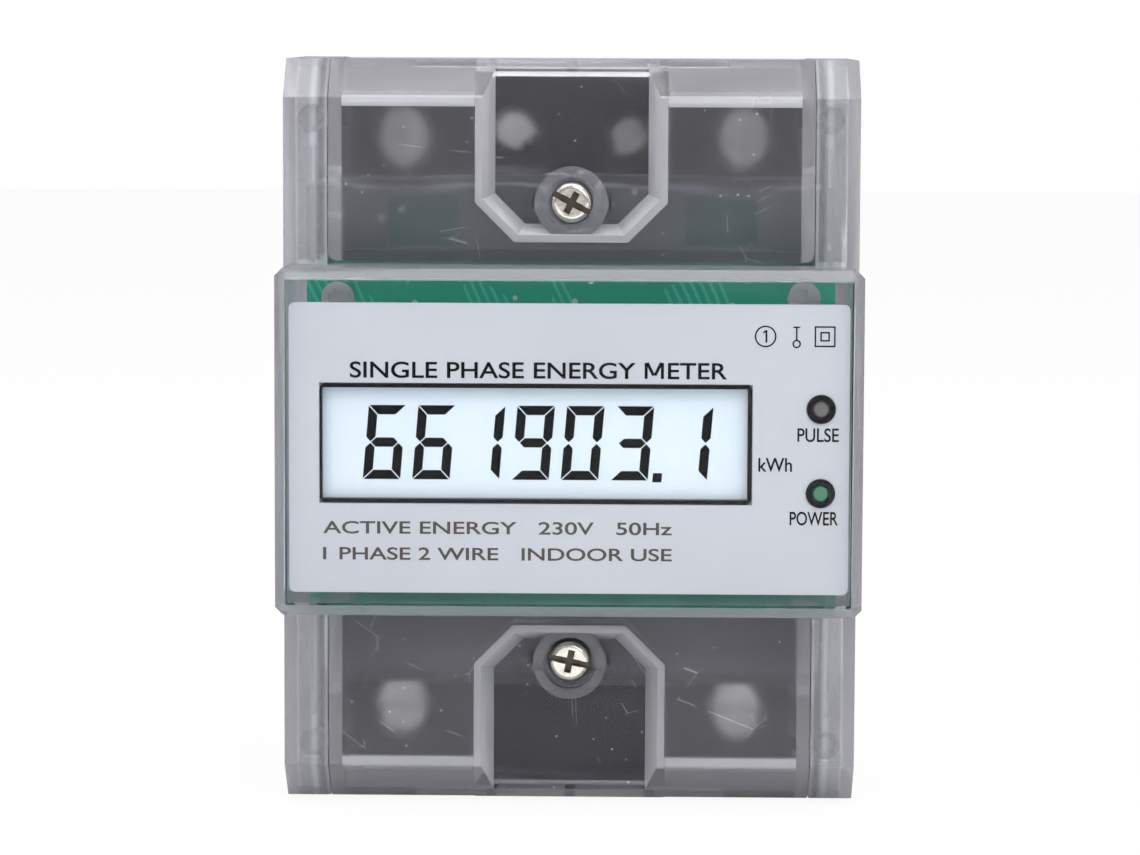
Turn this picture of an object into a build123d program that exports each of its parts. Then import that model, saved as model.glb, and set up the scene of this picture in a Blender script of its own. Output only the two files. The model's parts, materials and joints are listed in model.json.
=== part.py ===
from build123d import *
import os

# Four-module rail-mounted electricity meter. Millimetres; +X right, +Z up, front faces -Y.
# Origin: middle of the rail seat, on the rail centreline.

# Case
case_width = 76.0
case_height = 100.0
front_depth = 60.0  # rail seat to the front of the cap
shoulder_depth = 46.0  # rail seat to the shoulder plane
back_depth = 5.0  # rail seat to the back of the base
parting_depth = 12.0  # rail seat to the joint between front case and base
cap_height = 45.0
cap_chamfer = 1.45
cap_edge_chamfer = 1.0
case_wall = 1.6
base_wall = 2.0
slope_run = 5.1  # 45 degree slope between the shoulder and the end faces
end_draft = 0.5  # the ends lean in this much by the slope
side_wall_step = 1.2  # wall between a terminal bay and the channel beside it
side_rib_x = 33.9
side_rib_thickness = 0.7
side_rib_reach = 15.3  # beyond the cap's edge
snap_window = 12.6
snap_window_x = (-26.0, 13.4)
# Terminal covers
cover_width = 64.4
cover_gap = 0.15
cover_wall = 1.7
cover_side_drop = 12.0  # shoulder plane to the lower edge of the cover's side walls
pocket_width = 23.5
pocket_floor_width = 20.3
pocket_depth = 3.5
pocket_rim = 0.95
pocket_lip = 0.3  # the rim stands this much proud of the cover
pocket_inner_end = 25.45  # rail centreline to the pocket's rim, near the cap
pocket_corner = 5.2
collar_radius = 4.8
collar_bore = 3.5
wire_slot = 1.75
# Sealing screws, M3
seal_z = 30.6
seal_head_radius = 2.8
seal_head_height = 1.9
seal_shank_radius = 1.45
seal_grip = 4.3  # length of the brass insert
ring_drop = 5.8  # screw head's seat to the retaining ring
ring_thickness = 0.5
seal_boss_radius = 3.4
seal_recess_radius = 2.7
insert_radius = 2.0
# Terminals
main_pitch = 45.0
pulse_pitch = 15.0
terminal_z = 39.5
block_drop = 15.0  # shoulder plane to the block's front face
block_back = 7.2
block_inner_end = 33.0
clamp_drop = 8.4  # block's front face to the clamps' front
screw_head_inset = 0.1  # the screw heads stand this far inside the block's front
clamp_inner_end = 34.0
clamp_outer_end = 45.0
clamp_floor = 1.6
main_bore = 4.5
main_roof = 3.7  # metal between the clamp's front and its bore
main_clamp_half = 6.5
main_screw_radius = 3.0
main_head_radius = 3.9
pulse_bore = 2.25
pulse_roof = 3.0
pulse_clamp_half = 3.5
pulse_screw_radius = 1.5
pulse_head_radius = 2.75
pulse_mouth = 2.9  # half the width of the square way in to a pulse clamp
running_gap = 0.05
# Face
plate_left, plate_right = -36.2, 36.2
plate_bottom, plate_top = -19.6, 18.0
plate_depth = 57.3
plate_thickness = 0.6
window_left, window_right = -32.2, 23.65
window_bottom, window_top = -7.9, 7.6
bezel_band = 0.55
led_x = 32.55
pulse_led_z, power_led_z = 4.5, -6.4
led_radius = 1.5
led_ring_radius = 1.85
# Board
board_half_width = 35.2
board_edge_gap = 0.5
board_drop = 0.7  # ledges' back to the board's front face
board_thickness = 1.6
deck_inner_end = 25.0  # lower block's deck, measured from the rail centreline
cover_clearance = 0.6  # under the pocket's floor, to the ledges beside the cap
ledge_thickness = 1.5
# Rail clip
rail_height = 35.0
rail_lip = 1.0
channel_height = 36.0
clip_width = 15.8
clip_gap = 0.1
clip_step = 1.5  # the clip's guide is this much wider on each side
hook_x = 25.0
hook_half = 6.0
# Screws
case_screw_x, case_screw_z = 34.2, 41.6
case_boss_radius = 1.85
case_screw_seat = 5.5  # rail seat to the heads' seats
case_post_radius = 3.3
case_head_radius = 2.45
case_counterbore = 2.7
board_screw_x = 31.0
board_screw_top, board_screw_bottom = 17.5, -18.0
board_post_radius = 2.6
board_head_radius = 2.2
pilot_radius = 1.1
shank_radius = 1.05

half_width = case_width / 2
half_height = case_height / 2
half_cap = cap_height / 2
cover_half = cover_width / 2 - cover_gap
opening_half = cover_width / 2
inner_half = half_width - case_wall
tub_floor = shoulder_depth - pocket_depth - cover_wall  # underside of the cover's pocket
ledge_depth = tub_floor - cover_clearance
ledge_back = ledge_depth - ledge_thickness
board_depth = ledge_back - board_drop
board_back = board_depth - board_thickness
board_top = block_inner_end - board_edge_gap
board_bottom = -(deck_inner_end - board_edge_gap)
block_front = shoulder_depth - block_drop
block_outer_end = half_height - 0.4
clamp_front = block_front - clamp_drop
cover_end_depth = block_front + 0.3
cover_side_depth = shoulder_depth - cover_side_drop
partition_outer = block_inner_end + 1.4
seal_seat = -shoulder_depth + pocket_depth  # y of the seat under the screw's head
ring_front = seal_seat + ring_drop
recess_floor = ring_front + ring_thickness + 0.3
insert_back = recess_floor + seal_grip
main_axis = -(clamp_front - main_roof - main_bore)  # y of the cable's centre
pulse_axis = -(clamp_front - pulse_roof - pulse_bore)
main_back = main_axis + main_bore + clamp_floor  # y of the clamp's back face
pulse_back = pulse_axis + pulse_bore + clamp_floor

os.makedirs("parts", exist_ok=True)


def box(x, y, z, mode=Mode.ADD):
    """A block between two values on each axis."""
    with Locations(((x[0] + x[1]) / 2, (y[0] + y[1]) / 2, (z[0] + z[1]) / 2)):
        Box(x[1] - x[0], y[1] - y[0], z[1] - z[0], mode=mode)


def round_y(x, z, y, radius, mode=Mode.ADD):
    """A cylinder along Y between two values of y."""
    with Locations((x, (y[0] + y[1]) / 2, z)):
        Cylinder(radius, y[1] - y[0], rotation=(90, 0, 0), mode=mode)


def round_z(x, y, z, radius, mode=Mode.ADD):
    """A cylinder along Z between two values of z."""
    with Locations((x, y, (z[0] + z[1]) / 2)):
        Cylinder(radius, z[1] - z[0], mode=mode)


def save(part, name):
    """Labels a finished piece and writes it."""
    part.label = name
    export_step(part, f"parts/{name}.step")


def save_end(part, name, side):
    """Writes a piece drawn for the upper end, turned over for the lower end."""
    save(part if side > 0 else mirror(part, about=Plane.XY), name)


def end_skin(depth):
    """How far the end face stands from the rail centreline at a depth in front of the rail."""
    share = (depth - parting_depth) / (shoulder_depth - slope_run - parting_depth)
    return half_height - end_draft * share


def end_profile(inset, inner, back):
    """Side outline of one end of the case, drawn inset from its skin, as (y, z) points."""
    corner_cut = inset * (2**0.5 - 1)
    low = shoulder_depth - slope_run - corner_cut
    return [
        (-shoulder_depth + inset, inner),
        (-shoulder_depth + inset, half_height - end_draft - slope_run - corner_cut),
        (-low, end_skin(low) - inset),
        (-back, end_skin(back) - inset),
        (-back, inner),
    ]


# ---------------------------------------------------------------- front case
with BuildPart() as front_case:
    box((-half_width, half_width), (-front_depth, -parting_depth), (-half_cap, half_cap))
    chamfer(front_case.edges().filter_by(Axis.Y), cap_edge_chamfer)
    chamfer(front_case.faces().sort_by(Axis.Y)[0].edges(), cap_chamfer)
    with BuildSketch(Plane.YZ):
        with BuildLine():
            Polyline(*end_profile(0, 0, parting_depth), close=True)
        make_face()
        mirror(about=Plane.XZ)
    extrude(amount=half_width, both=True)
    # space behind the window, then behind the ledges
    box(
        (-inner_half, inner_half),
        (-front_depth + case_wall, -ledge_back),
        (-half_cap + case_wall, half_cap - case_wall),
        Mode.SUBTRACT,
    )
    box(
        (-inner_half, inner_half),
        (-ledge_back, -parting_depth),
        (-block_inner_end, block_inner_end),
        Mode.SUBTRACT,
    )
    # channels down the sides, open at the back
    for side in (-1, 1):
        with BuildSketch(Plane.YZ.offset(side * (opening_half + inner_half + side_wall_step) / 2)):
            with BuildLine():
                Polyline(*end_profile(case_wall, 0, parting_depth), close=True)
            make_face()
            mirror(about=Plane.XZ)
        extrude(amount=(inner_half - opening_half - side_wall_step) / 2, both=True, mode=Mode.SUBTRACT)
    for side in (-1, 1):
        for end in (-1, 1):
            z_low, z_high = sorted((end * half_cap, end * (half_cap + side_rib_reach)))
            box(
                sorted((side * side_rib_x, side * (side_rib_x + side_rib_thickness))),
                (-shoulder_depth + 1, -ledge_back),
                (z_low, z_high),
            )
            round_y(
                side * case_screw_x,
                end * case_screw_z,
                (-shoulder_depth + 1, -parting_depth),
                case_boss_radius,
            )
    # open bays for the terminal blocks and their covers
    for end in (-1, 1):
        bay = sorted((end * half_cap, end * (half_height + 1)))
        box((-opening_half, opening_half), (-shoulder_depth - 1, -ledge_depth), bay, Mode.SUBTRACT)
        bay = sorted((end * partition_outer, end * (half_height + 1)))
        box((-opening_half, opening_half), (-shoulder_depth, -parting_depth), bay, Mode.SUBTRACT)
        bay = sorted((end * block_inner_end, end * (partition_outer + 1)))
        box((-opening_half, opening_half), (-block_front - 0.2, -parting_depth), bay, Mode.SUBTRACT)
        # boss for the sealing screw
        post = (-tub_floor + 0.1, insert_back + 0.4)
        round_y(0, end * seal_z, post, seal_boss_radius)
        round_y(0, end * seal_z, (post[0], recess_floor), seal_recess_radius, Mode.SUBTRACT)
        round_y(0, end * seal_z, (recess_floor, post[1]), insert_radius, Mode.SUBTRACT)
        # holes for the case screws
        for side in (-1, 1):
            round_y(
                side * case_screw_x,
                end * case_screw_z,
                (-shoulder_depth + 3, -parting_depth),
                pilot_radius,
                Mode.SUBTRACT,
            )
    # raised snap windows in the upper ledge
    for x_low in snap_window_x:
        box((x_low, x_low + snap_window), (-ledge_depth - 0.8, -ledge_depth + 0.5), (25.2, 33.6))
        box(
            (x_low + 1.6, x_low + snap_window - 1.6),
            (-ledge_depth - 1.0, -ledge_back),
            (25.2, 31.8),
            Mode.SUBTRACT,
        )
save(front_case.part, "front_case")

# ---------------------------------------------------------------- rear base
block_bay = (-parting_depth, -block_back + 0.2)
with BuildPart() as rear_base:
    box((-half_width, half_width), (-parting_depth, 0), (-half_height, half_height))
    for end in (-1, 1):
        lump = sorted((end * channel_height / 2, end * half_height))
        box((-half_width, half_width), (0, back_depth), lump)
    box(
        (-half_width + base_wall, half_width - base_wall),
        (-parting_depth, -base_wall),
        (-half_height + base_wall, half_height - base_wall),
        Mode.SUBTRACT,
    )
    # screw posts at the corners and under the board
    for x in (-case_screw_x, case_screw_x):
        for z in (-case_screw_z, case_screw_z):
            round_y(x, z, (-parting_depth, 0), case_post_radius)
    for x in (-board_screw_x, board_screw_x):
        for z in (board_screw_bottom, board_screw_top):
            round_y(x, z, (-board_back, -base_wall), board_post_radius)
            round_y(x, z, (-board_back, -board_back + 9), pilot_radius, Mode.SUBTRACT)
    for end in (-1, 1):
        reach = sorted((end * (block_inner_end - 0.2), end * (half_height + 1)))
        box((-opening_half + 0.05, opening_half - 0.05), block_bay, reach, Mode.SUBTRACT)
        # ribs that carry the terminal block and its clamps
        rib = sorted((end * (block_inner_end + 0.5), end * (clamp_outer_end - 1)))
        rests = [(-15.0, -block_back), (15.0, -block_back)]
        rests += [(x, main_back + 0.1) for x in (-main_pitch / 2, main_pitch / 2)]
        if end > 0:
            rests += [(x, pulse_back + 0.1) for x in (-pulse_pitch / 2, pulse_pitch / 2)]
        for x, top in rests:
            box((x - 0.75, x + 0.75), (top, -base_wall), rib)
    for x in (-case_screw_x, case_screw_x):
        for z in (-case_screw_z, case_screw_z):
            round_y(x, z, (-parting_depth, back_depth), 1.5, Mode.SUBTRACT)
            round_y(x, z, (-case_screw_seat, back_depth), case_counterbore, Mode.SUBTRACT)
    # fixed hooks over the rail's upper edge
    for x in (-hook_x, hook_x):
        reach = (rail_height / 2 - 2.0, half_height - 1)
        box((x - hook_half, x + hook_half), (rail_lip + 0.4, back_depth), reach)
    # guide for the rail clip, open at the back and at the lower end
    clip_slot = clip_width / 2 + clip_gap
    channel = (-half_height, -channel_height / 2)
    box((-clip_slot, clip_slot), (rail_lip + 0.2, back_depth), channel, Mode.SUBTRACT)
    box((-clip_slot - clip_step, clip_slot + clip_step), (rail_lip + 0.2, 3.0), channel, Mode.SUBTRACT)
    box((-1.9, 1.9), (rail_lip + 0.1, 4.4), (-40.5, -39.0))
save(rear_base.part, "rear_base")

# ---------------------------------------------------------------- rail clip and its spring
with BuildPart() as rail_clip:
    box(
        (-clip_width / 2, clip_width / 2),
        (rail_lip + 0.3, back_depth - 0.2),
        (-half_height + 0.6, -channel_height / 2 + 0.4),
    )
    box(
        (-clip_width / 2 - clip_step, clip_width / 2 + clip_step),
        (rail_lip + 0.3, 2.9),
        (-half_height + 2.6, -channel_height / 2 - 0.5),
    )
    # nose that hooks under the rail's lower edge, with a ramp to let the rail push it back
    with BuildSketch(Plane.YZ):
        with BuildLine():
            Polyline(
                (rail_lip + 0.3, -channel_height / 2 + 0.3),
                (rail_lip + 0.3, -rail_height / 2 + 1.8),
                (rail_lip + 1.3, -rail_height / 2 + 1.8),
                (back_depth - 0.2, -channel_height / 2 + 0.3),
                close=True,
            )
        make_face()
    extrude(amount=clip_width / 2 - 0.5, both=True)
    box((-2.3, 2.3), (0, back_depth), (-41.4, -28.0), Mode.SUBTRACT)
    # slot for a screwdriver
    box((-3.0, 3.0), (2.0, back_depth), (-47.2, -45.4), Mode.SUBTRACT)
save(rail_clip.part, "rail_clip")

spring_low, spring_high = -38.95, -28.05
spring_wire = 0.3
spring_radius = 1.35
spring_turns = 6
with BuildPart() as rail_clip_spring:
    with BuildLine() as coil:
        Helix(
            pitch=(spring_high - spring_low - 2 * spring_wire) / spring_turns,
            height=spring_high - spring_low - 2 * spring_wire,
            radius=spring_radius,
            center=(0, 2.9, spring_low + spring_wire),
        )
    with BuildSketch(Plane(origin=coil.line @ 0, z_dir=coil.line % 0)):
        Circle(spring_wire)
    sweep(path=coil.line, is_frenet=True)
save(rail_clip_spring.part, "rail_clip_spring")


# ---------------------------------------------------------------- terminal covers
def terminal_cover(name, side):
    inner = half_cap + 0.4
    rim_outer = pocket_width / 2 + pocket_rim
    with BuildPart() as cover:
        outline = end_profile(0, inner, cover_side_depth)
        with BuildSketch(Plane.YZ):
            with BuildLine():
                Polyline(*outline, close=True)
            make_face()
        extrude(amount=cover_half, both=True)
        upright = cover.edges().filter_by(Axis.Y).group_by(Axis.Z)[0]
        fillet(upright, 1.2)
        # the end wall reaches lower than the side walls
        end_face = (end_skin(cover_side_depth) - cover_wall, end_skin(cover_side_depth))
        box((-cover_half, cover_half), (-cover_side_depth, -cover_end_depth), end_face)
        with BuildSketch(Plane.YZ):
            with BuildLine():
                Polyline(*end_profile(cover_wall, inner + cover_wall, 20), close=True)
            make_face()
        extrude(amount=cover_half - cover_wall, both=True, mode=Mode.SUBTRACT)
        # the wall beside the cap stops above the ledge
        box(
            (-cover_half, cover_half),
            (-ledge_depth - 1.1, -cover_end_depth),
            (inner - 1, partition_outer + 1.0),
            Mode.SUBTRACT,
        )
        # pocket: an eight-sided tub let into the front
        with BuildSketch(Plane.XZ.offset(shoulder_depth + pocket_lip)):
            with BuildLine():
                Polyline(*pocket_outline(rim_outer, pocket_inner_end, pocket_corner), close=True)
            make_face()
        extrude(amount=-(shoulder_depth + pocket_lip - tub_floor))
        # trimmed just proud of the slope, and level with the end wall
        slope_low = shoulder_depth - slope_run
        end_z = end_skin(slope_low)
        with BuildSketch(Plane.YZ):
            with BuildLine():
                Polyline(
                    (-shoulder_depth - 1, end_z - slope_run - 1 + pocket_lip),
                    (-slope_low - pocket_lip, end_z),
                    (-slope_low, end_z),
                    (-tub_floor + 1, end_skin(tub_floor - 1)),
                    (-tub_floor + 1, half_height + 9),
                    (-shoulder_depth - 1, half_height + 9),
                    close=True,
                )
            make_face()
        extrude(amount=rim_outer + 0.5, both=True, mode=Mode.SUBTRACT)
        with BuildSketch(Plane.XZ.offset(shoulder_depth + pocket_lip)):
            with BuildLine():
                Polyline(
                    *pocket_outline(pocket_width / 2, pocket_inner_end + pocket_rim, 4.7),
                    close=True,
                )
            make_face()
        with BuildSketch(Plane.XZ.offset(shoulder_depth - pocket_depth)):
            with BuildLine():
                Polyline(
                    *pocket_outline(pocket_floor_width / 2, pocket_inner_end + 2.3, 4.0),
                    close=True,
                )
            make_face()
        loft(mode=Mode.SUBTRACT)
        # collar round the sealing screw, with a notch and a wire slot on each side
        collar = (-shoulder_depth, -tub_floor)
        round_y(0, seal_z, collar, collar_radius)
        box(
            (-collar_radius - 1, collar_radius + 1),
            (-shoulder_depth, -shoulder_depth + 0.7),
            (seal_z - wire_slot / 2, seal_z + wire_slot / 2),
            Mode.SUBTRACT,
        )
        round_y(0, seal_z, (-shoulder_depth - 1, seal_seat), collar_bore, Mode.SUBTRACT)
        round_y(0, seal_z, (seal_seat, -tub_floor), seal_shank_radius + 0.15, Mode.SUBTRACT)
        for x in (-collar_radius - 0.35, collar_radius + 0.35):
            box(
                (x - 0.2, x + 0.2),
                (-shoulder_depth - 1, -tub_floor),
                (seal_z - wire_slot / 2, seal_z + wire_slot / 2),
                Mode.SUBTRACT,
            )
        # shallow vents along the top of the end wall
        for x in (-15.9, -5.3, 5.3, 16.1):
            box(
                (x - 4.65, x + 4.65),
                (-shoulder_depth + slope_run + 1.2, -shoulder_depth + slope_run + 2.6),
                (half_height - end_draft - cover_wall - 1, half_height + 1),
                Mode.SUBTRACT,
            )
        # snap lugs on the side walls
        for x in (-1, 1):
            box(
                sorted((x * (cover_half - cover_wall - 0.5), x * (cover_half - cover_wall))),
                (-shoulder_depth + cover_wall - 0.2, -cover_side_depth),
                (40.6, 42.9),
            )
    save_end(cover.part, name, side)


def pocket_outline(half, inner, corner):
    """Eight-sided outline, open towards the outer end, as (x, z) points."""
    outer = half_height + 3
    return [
        (-half, outer),
        (-half, inner + corner),
        (-half + corner, inner),
        (half - corner, inner),
        (half, inner + corner),
        (half, outer),
    ]


# ---------------------------------------------------------------- sealing screws
def cross_slot(radius, x, z, top, depth):
    """A slot and a cross recess cut into a screw head that faces -Y."""
    box((x - radius, x + radius), (top, top + depth * 0.6), (z - 0.4, z + 0.4), Mode.SUBTRACT)
    reach = radius * 0.55
    box((x - 0.45, x + 0.45), (top, top + depth), (z - reach, z + reach), Mode.SUBTRACT)
    box((x - reach, x + reach), (top, top + depth), (z - 0.45, z + 0.45), Mode.SUBTRACT)


def seal_set(end_name, side):
    head_top = seal_seat - seal_head_height
    with BuildPart() as screw:
        round_y(0, seal_z, (head_top, seal_seat), seal_head_radius)
        fillet(screw.faces().sort_by(Axis.Y)[0].edges(), 0.9)
        round_y(0, seal_z, (seal_seat, insert_back - 0.5), seal_shank_radius)
        chamfer(screw.faces().sort_by(Axis.Y)[-1].edges(), 0.4)
        with Locations((0, ring_front + ring_thickness / 2, seal_z)):
            Cylinder(
                seal_shank_radius + 1, ring_thickness + 0.1, rotation=(90, 0, 0), mode=Mode.SUBTRACT
            )
            Cylinder(1.1, ring_thickness + 0.1, rotation=(90, 0, 0))
        cross_slot(seal_head_radius, 0, seal_z, head_top, 1.3)
    save_end(screw.part, f"{end_name}_seal_screw", side)
    with BuildPart() as ring:
        washer = (ring_front, ring_front + ring_thickness)
        round_y(0, seal_z, washer, seal_recess_radius - 0.25)
        round_y(0, seal_z, washer, 1.1 + running_gap, Mode.SUBTRACT)
        box((-0.8, 0.8), washer, (seal_z, seal_z + 4), Mode.SUBTRACT)
    save_end(ring.part, f"{end_name}_retaining_ring", side)


with BuildPart() as seal_inserts:
    for end in (-1, 1):
        round_y(0, end * seal_z, (recess_floor, insert_back), insert_radius)
        bore = seal_shank_radius + running_gap
        round_y(0, end * seal_z, (recess_floor, insert_back), bore, Mode.SUBTRACT)
save(seal_inserts.part, "seal_inserts")

for end_name, side in (("upper", 1), ("lower", -1)):
    terminal_cover(f"{end_name}_terminal_cover", side)
    seal_set(end_name, side)


# ---------------------------------------------------------------- terminals


def clamp_piece(x, bore, axis, half, back, screw_radius):
    """Brass block: a blind cable hole from the outer end, a threaded hole from the front."""
    with BuildPart() as clamp:
        box((x - half, x + half), (-clamp_front, back), (clamp_inner_end, clamp_outer_end))
        chamfer(clamp.edges().filter_by(Axis.Z), 0.5)
        round_z(x, axis, (clamp_inner_end + 1.5, clamp_outer_end), bore, Mode.SUBTRACT)
        round_y(x, terminal_z, (-clamp_front, axis), screw_radius, Mode.SUBTRACT)
    return clamp.part


def clamp_screw(x, head_radius, head, tip, screw_radius, neck):
    """Cheese-head screw whose tip turns in its pressure pad."""
    with BuildPart() as screw:
        round_y(x, terminal_z, head, head_radius)
        chamfer(screw.faces().sort_by(Axis.Y)[0].edges(), 0.4)
        round_y(x, terminal_z, (head[1], tip), screw_radius - running_gap)
        round_y(x, terminal_z, (tip, tip + 1.1), neck)
        cross_slot(head_radius, x, terminal_z, head[0], 1.6)
    return screw.part


def clamp_pad(x, tip, radius, neck, thickness):
    """Pressure pad with a socket for the screw's tip."""
    with BuildPart() as pad:
        round_y(x, terminal_z, (tip + running_gap, tip + thickness), radius)
        round_y(x, terminal_z, (tip, tip + 1.15), neck + running_gap, Mode.SUBTRACT)
    return pad.part


main_tip = main_axis - main_bore - 2.2
pulse_tip = pulse_axis - pulse_bore - 1.9
head_top = -block_front + screw_head_inset
main_head = (head_top, head_top + 2.9)
pulse_head = (head_top + 0.3, head_top + 2.5)
for end_name, side in (("upper", 1), ("lower", -1)):
    for hand, x in (("left", -main_pitch / 2), ("right", main_pitch / 2)):
        name = f"{end_name}_{hand}"
        clamp = clamp_piece(x, main_bore, main_axis, main_clamp_half, main_back, main_screw_radius)
        save_end(clamp, f"{name}_clamp", side)
        screw = clamp_screw(x, main_head_radius, main_head, main_tip, main_screw_radius, 1.4)
        save_end(screw, f"{name}_clamp_screw", side)
        save_end(clamp_pad(x, main_tip, main_screw_radius - 0.1, 1.4, 2.0), f"{name}_clamp_pad", side)
for hand, x in (("left", -pulse_pitch / 2), ("right", pulse_pitch / 2)):
    name = f"pulse_{hand}"
    clamp = clamp_piece(x, pulse_bore, pulse_axis, pulse_clamp_half, pulse_back, pulse_screw_radius)
    save(clamp, f"{name}_clamp")
    screw = clamp_screw(x, pulse_head_radius, pulse_head, pulse_tip, pulse_screw_radius, 0.7)
    save(screw, f"{name}_clamp_screw")
    save(clamp_pad(x, pulse_tip, pulse_screw_radius - 0.1, 0.7, 1.7), f"{name}_clamp_pad")


def block_cut(x, half, well):
    """Room in a terminal block for one clamp and its screw."""
    pocket = (block_inner_end - 1, clamp_outer_end + 0.1)
    box((x - half, x + half), (-clamp_front - 0.1, -block_back + 1), pocket, Mode.SUBTRACT)
    round_y(x, terminal_z, (-block_front - 1, -clamp_front), well, Mode.SUBTRACT)


def terminal_block(name, side):
    half = opening_half - 0.15
    with BuildPart() as block:
        box((-half, half), (-block_front, -block_back), (block_inner_end, block_outer_end))
        chamfer(block.faces().sort_by(Axis.Y)[0].edges().filter_by(Axis.X), 0.5)
        if side < 0:
            # deck that closes the gap between the lower block and the board
            box((-half, half), (-block_front, -block_front + 2), (deck_inner_end, block_inner_end))
        for x in (-main_pitch / 2, main_pitch / 2):
            block_cut(x, main_clamp_half + 0.1, main_head_radius + 0.35)
            tunnel = main_bore + 0.4
            round_z(x, main_axis, (clamp_outer_end, block_outer_end + 1), tunnel, Mode.SUBTRACT)
            with Locations((x, main_axis, block_outer_end - 0.6)):
                Cone(tunnel, tunnel + 0.6, 1.2, mode=Mode.SUBTRACT)
        if side > 0:
            for x in (-pulse_pitch / 2, pulse_pitch / 2):
                block_cut(x, pulse_clamp_half + 0.1, pulse_head_radius + 0.3)
                # square mouth for a thin lead
                box(
                    (x - pulse_mouth, x + pulse_mouth),
                    (pulse_axis - pulse_mouth, pulse_axis + pulse_mouth),
                    (clamp_outer_end, block_outer_end + 1),
                    Mode.SUBTRACT,
                )
    save_end(block.part, name, side)


terminal_block("upper_terminal_block", 1)
terminal_block("lower_terminal_block", -1)

# ---------------------------------------------------------------- busbars and shunt
bar_y = (-22.0, -20.0)
shunt_half = 8.0
for name, x, z in (
    ("phase_bar_in", -main_pitch / 2, (-clamp_inner_end, -shunt_half)),
    ("phase_bar_out", -main_pitch / 2, (shunt_half, clamp_inner_end)),
    ("shunt_element", -main_pitch / 2, (-shunt_half, shunt_half)),
    ("neutral_bar", main_pitch / 2, (-clamp_inner_end, clamp_inner_end)),
):
    with BuildPart() as bar:
        box((x - 4, x + 4), bar_y, z)
    save(bar.part, name)


# ---------------------------------------------------------------- leads
def lead(start, end, radius):
    """A wire that leaves square from one face, shifts sideways and meets another square."""
    (x0, y0, z0), (x1, y1, z1) = start, end
    third = (y1 - y0) / 3
    points = [start, (x0, y0 + third, z0), (x1, y1 - third, z1), end]
    with BuildPart() as wire:
        with BuildLine() as path:
            FilletPolyline(*points, radius=1.8)
        with BuildSketch(Plane(origin=path.line @ 0, z_dir=path.line % 0)):
            Circle(radius)
        sweep(path=path.line)
    return wire.part


lead_radius = 0.55
sense_leads = [
    lead((-main_pitch / 2, bar_y[0], z), (-17.0, -board_back, z * 0.5), lead_radius) for z in (-10.5, 10.5)
]
save(Compound(children=sense_leads), "sense_leads")
save(lead((main_pitch / 2, bar_y[0], 0), (17.0, -board_back, 3.0), lead_radius), "neutral_lead")


def pulse_lead(x):
    """A wire from a pulse clamp's inner end to the back of the board."""
    y_low = -clamp_front + 1.6
    points = [
        (x, y_low, clamp_inner_end),
        (x, y_low, 27.0),
        (x * 0.8, -board_back + 6, 22.0),
        (x * 0.8, -board_back, 22.0),
    ]
    with BuildPart() as wire:
        with BuildLine() as path:
            FilletPolyline(*points, radius=2.0)
        with BuildSketch(Plane(origin=path.line @ 0, z_dir=path.line % 0)):
            Circle(lead_radius)
        sweep(path=path.line)
    return wire.part


save(Compound(children=[pulse_lead(x) for x in (-pulse_pitch / 2, pulse_pitch / 2)]), "pulse_leads")

# ---------------------------------------------------------------- board and its parts
with BuildPart() as main_board:
    half = board_half_width
    box((-half, half), (-board_depth, -board_back), (board_bottom, board_top))
    room = seal_boss_radius + 0.5
    round_y(0, seal_z, (-board_depth, -board_back), room, Mode.SUBTRACT)
    box((-room, room), (-board_depth, -board_back), (seal_z, half_height), Mode.SUBTRACT)
    for x in (-board_screw_x, board_screw_x):
        for z in (board_screw_bottom, board_screw_top):
            round_y(x, z, (-board_depth, -board_back), 1.4, Mode.SUBTRACT)
save(main_board.part, "main_board")

with BuildPart() as board_screws:
    for x in (-board_screw_x, board_screw_x):
        for z in (board_screw_bottom, board_screw_top):
            round_y(x, z, (-board_depth - 1.6, -board_depth), board_head_radius)
            round_y(x, z, (-board_depth, -board_depth + 8), shank_radius)
            cross_slot(board_head_radius, x, z, -board_depth - 1.6, 1.0)
save(board_screws.part, "board_screws")

with BuildPart() as case_screws:
    for x in (-case_screw_x, case_screw_x):
        for z in (-case_screw_z, case_screw_z):
            seat = -case_screw_seat
            round_y(x, z, (seat, seat + 2), case_head_radius)
            round_y(x, z, (-27.0, seat), shank_radius)
            round_y(x, z, (seat + 0.9, seat + 2), 1.0, Mode.SUBTRACT)
save(case_screws.part, "case_screws")

back = -board_back
with BuildPart() as film_capacitor:
    box((-9, 9), (back, back + 11), (-22, -14))
    fillet(film_capacitor.edges().filter_by(Axis.Y), 0.6)
save(film_capacitor.part, "film_capacitor")
with BuildPart() as electrolytic_capacitor:
    round_y(6, -6, (back, back + 13), 5.0)
    fillet(electrolytic_capacitor.faces().sort_by(Axis.Y)[-1].edges(), 0.8)
save(electrolytic_capacitor.part, "electrolytic_capacitor")
with BuildPart() as varistor:
    with Locations((-7, back + 6.5, -6)):
        Cylinder(5.0, 3.6, rotation=(0, 0, 0))
    fillet(varistor.edges(), 1.0)
    for x in (-9.5, -4.5):
        box((x - 0.35, x + 0.35), (back, back + 4), (-6.35, -5.65))
save(varistor.part, "varistor")
with BuildPart() as optocoupler:
    box((-3.2, 3.2), (back + 0.5, back + 4.0), (9.5, 14.1))
    for x in (-3.8, 3.8):
        for z in (10.5, 13.1):
            box((x - 0.6, x + 0.6), (back, back + 2.2), (z - 0.3, z + 0.3))
save(optocoupler.part, "optocoupler")


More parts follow.
